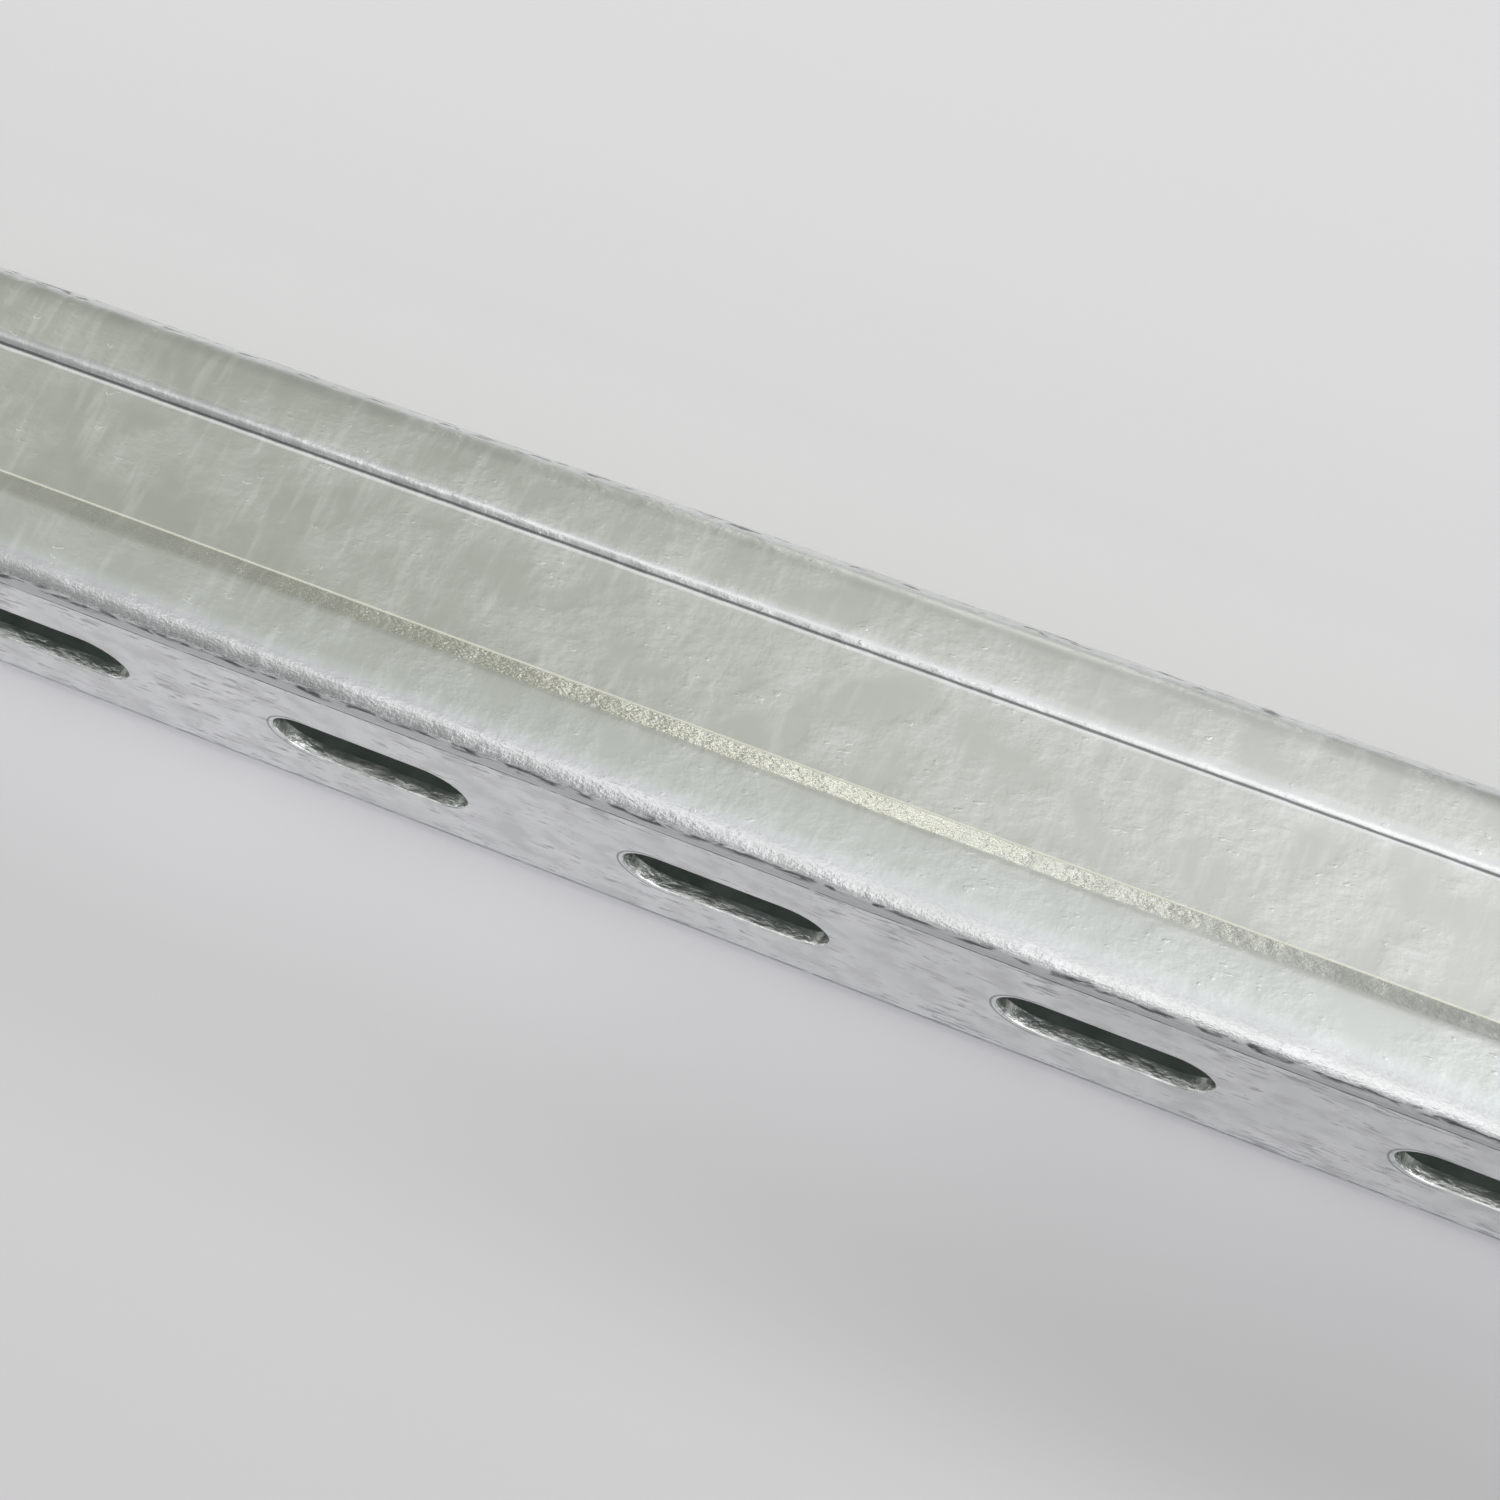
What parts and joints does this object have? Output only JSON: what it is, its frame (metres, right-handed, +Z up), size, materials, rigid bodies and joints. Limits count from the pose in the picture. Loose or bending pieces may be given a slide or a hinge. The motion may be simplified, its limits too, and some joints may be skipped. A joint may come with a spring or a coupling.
{
  "type": "strut channel",
  "caption": "Galvanised steel strut channel: lipped C section with a recessed stiffening band in each side wall and a row of round-ended slots in the web, lying on its side.",
  "frame": {"origin": "middle of the underside, on the surface that the channel lies on", "axes": "+X along the channel, +Y towards the open, lipped side (the slotted web faces -Y), +Z up through the banded side walls"},
  "size_m": [1, 0.041, 0.041],
  "materials": {
    "galvanised_steel": "hot-dip galvanised, dull, with ripples and runs"
  },
  "bodies": {
    "root": {"strut_channel": "galvanised_steel"}
  },
  "joints": []
}
